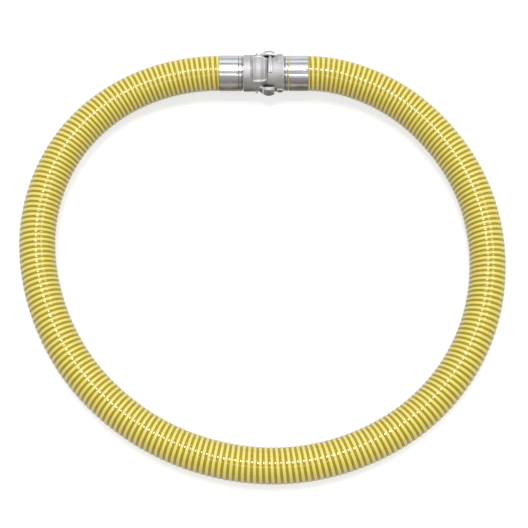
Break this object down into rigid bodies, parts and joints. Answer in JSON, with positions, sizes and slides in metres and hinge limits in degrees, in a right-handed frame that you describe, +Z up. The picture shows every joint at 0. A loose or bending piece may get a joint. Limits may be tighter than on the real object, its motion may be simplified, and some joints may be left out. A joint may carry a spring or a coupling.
{
  "type": "pvc suction hose",
  "caption": "Ribbed yellow PVC suction hose lying in a closed loop, its crimped ends joined by a symmetrical claw coupling with locking rings.",
  "frame": {"origin": "on the floor, under the middle of the coupling's mating plane", "axes": "+X along the coupling's axis, +Z up, the loop of hose lies towards -Y"},
  "size_m": [1.2011, 1.1028, 0.1169],
  "materials": {
    "hose_wall": "glossy translucent yellow PVC with opaque yellow ribs",
    "ferrule_steel": "bright drawn steel",
    "cast_aluminium": "satin cast aluminium",
    "seal_rubber": "matt black rubber",
    "spring_wire": "plain spring wire"
  },
  "bodies": {
    "hose_assembly": {"hose": "hose_wall", "left_ferrule": "ferrule_steel", "right_ferrule": "ferrule_steel", "left_coupling_body": "cast_aluminium", "right_coupling_body": "cast_aluminium", "left_seal": "seal_rubber", "right_seal": "seal_rubber", "left_snap_ring": "spring_wire", "right_snap_ring": "spring_wire"},
    "left_ring": {"left_lock_ring": "cast_aluminium"},
    "right_ring": {"right_lock_ring": "cast_aluminium"}
  },
  "joints": [
    {"name": "left_ring_turn", "type": "hinge", "parent": "hose_assembly", "child": "left_ring", "pos_m": [-0.03, 0, 0.0585], "axis": [-1, 0, 0], "range_deg": [0, 50]},
    {"name": "right_ring_turn", "type": "hinge", "parent": "hose_assembly", "child": "right_ring", "pos_m": [0.03, 0, 0.0585], "axis": [1, 0, 0], "range_deg": [0, 45]}
  ]
}
